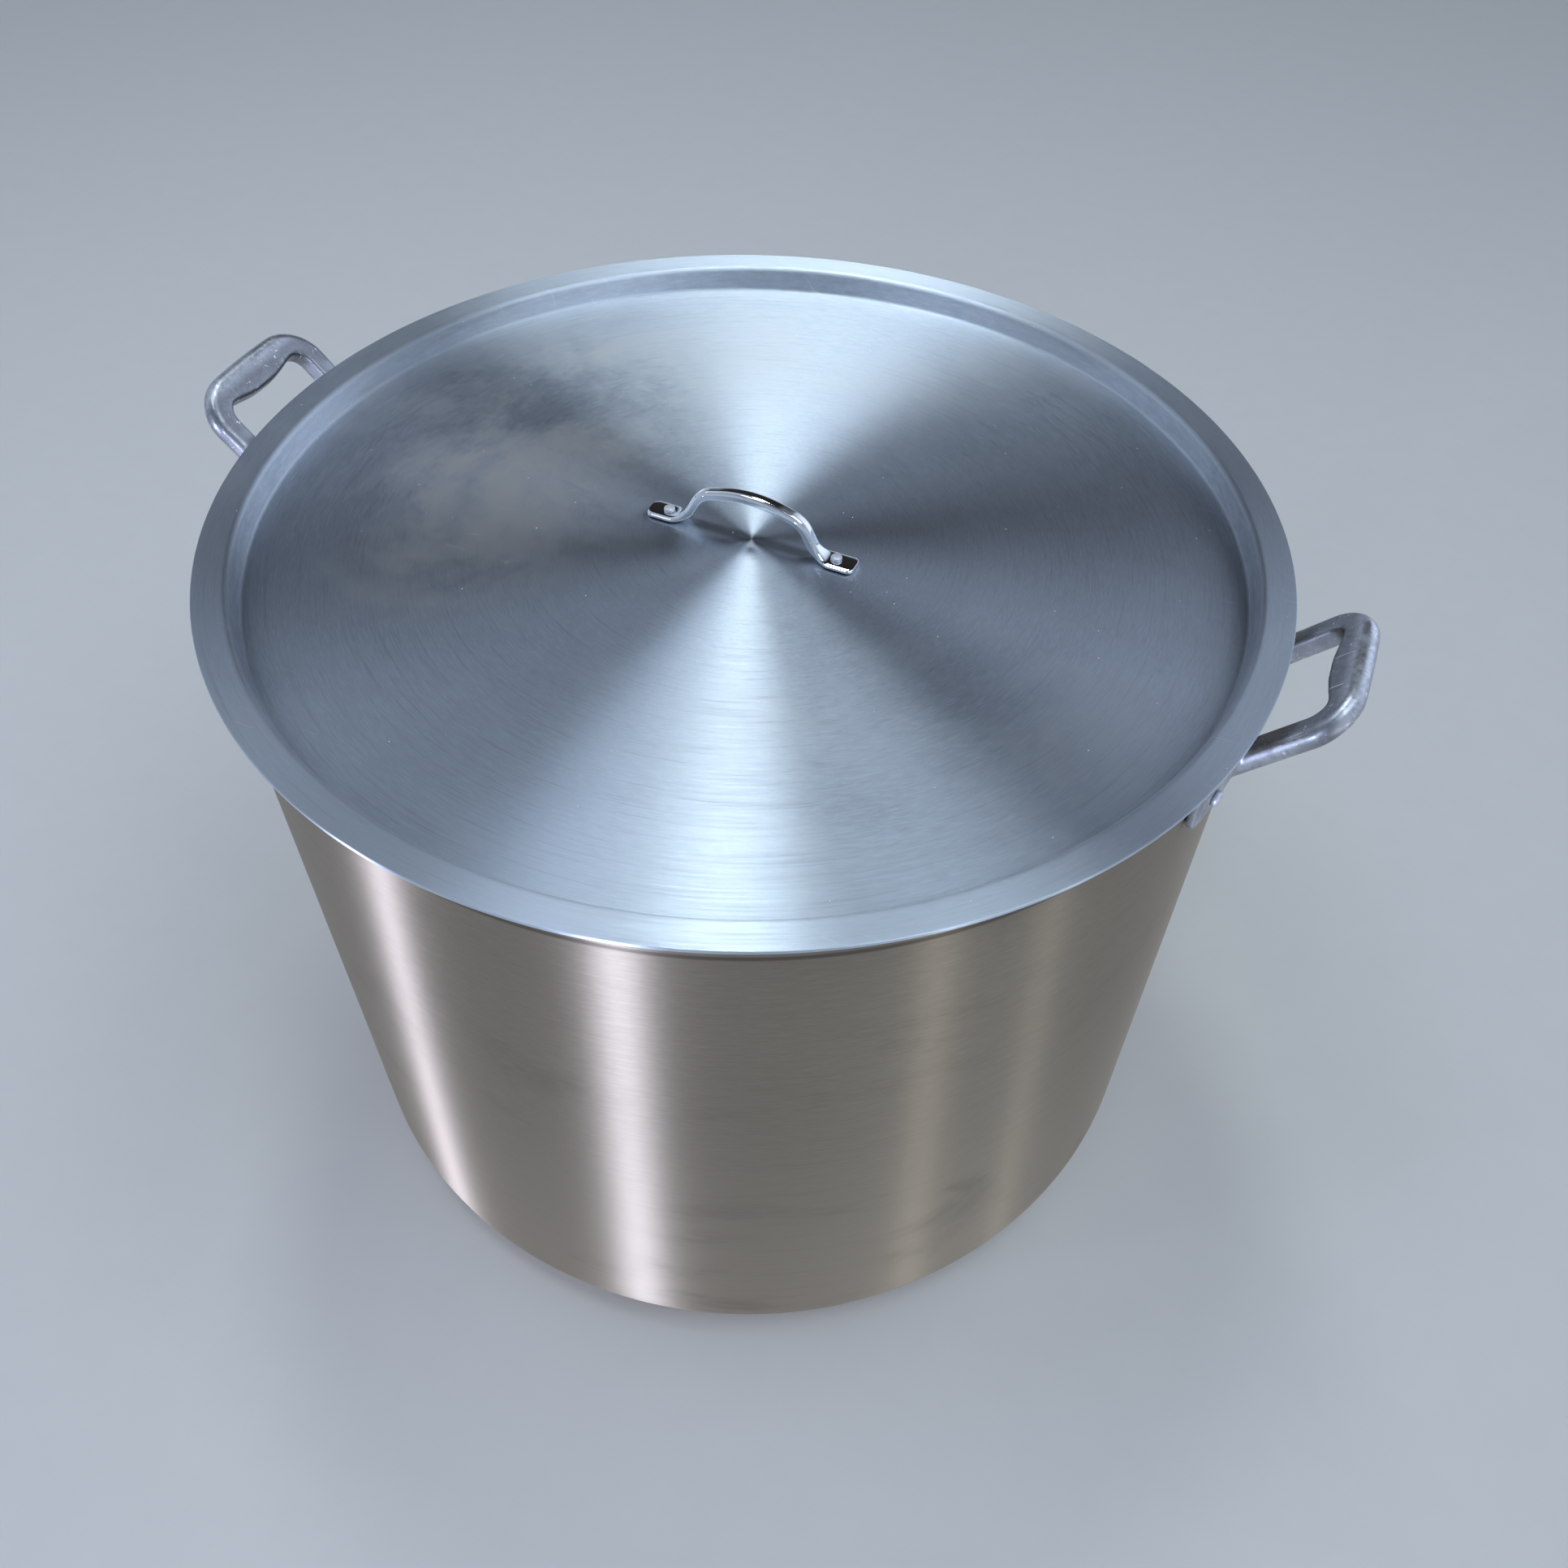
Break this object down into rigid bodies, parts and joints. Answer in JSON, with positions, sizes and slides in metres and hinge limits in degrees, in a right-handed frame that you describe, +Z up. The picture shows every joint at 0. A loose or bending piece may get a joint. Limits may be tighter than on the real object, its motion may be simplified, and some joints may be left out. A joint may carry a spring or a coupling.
{
  "type": "stock pot",
  "caption": "Large straight-sided aluminium stock pot with riveted loop handles and a recessed flat lid with a chrome pull.",
  "frame": {"origin": "centre of the flat base, on the surface the pot stands on", "axes": "+Z up, along the axis of the pot; +X towards the right-hand side handle"},
  "size_m": [0.5972, 0.5284, 0.4147],
  "materials": {
    "spun_wall": "fine brushing round the wall, satin",
    "spun_lid": "fine concentric brushing, satin, light scratches",
    "cast_handle": "cast and tumbled, semi-bright",
    "rivet": "dull satin",
    "chrome_pull": "polished"
  },
  "bodies": {
    "pot": {"pot_body": "spun_wall", "right_handle": "cast_handle", "right_handle_rivet_1": "rivet", "right_handle_rivet_2": "rivet", "right_handle_rivet_3": "rivet", "right_handle_rivet_4": "rivet", "left_handle": "cast_handle", "left_handle_rivet_1": "rivet", "left_handle_rivet_2": "rivet", "left_handle_rivet_3": "rivet", "left_handle_rivet_4": "rivet"},
    "lid": {"lid_pan": "spun_lid", "lid_pull": "chrome_pull", "lid_pull_rivet_right": "rivet", "lid_pull_rivet_left": "rivet"}
  },
  "joints": [
    {"name": "lid_lift", "type": "slide", "parent": "pot", "child": "lid", "axis": [0, 0, 1], "range_m": [0, 0.25]}
  ]
}
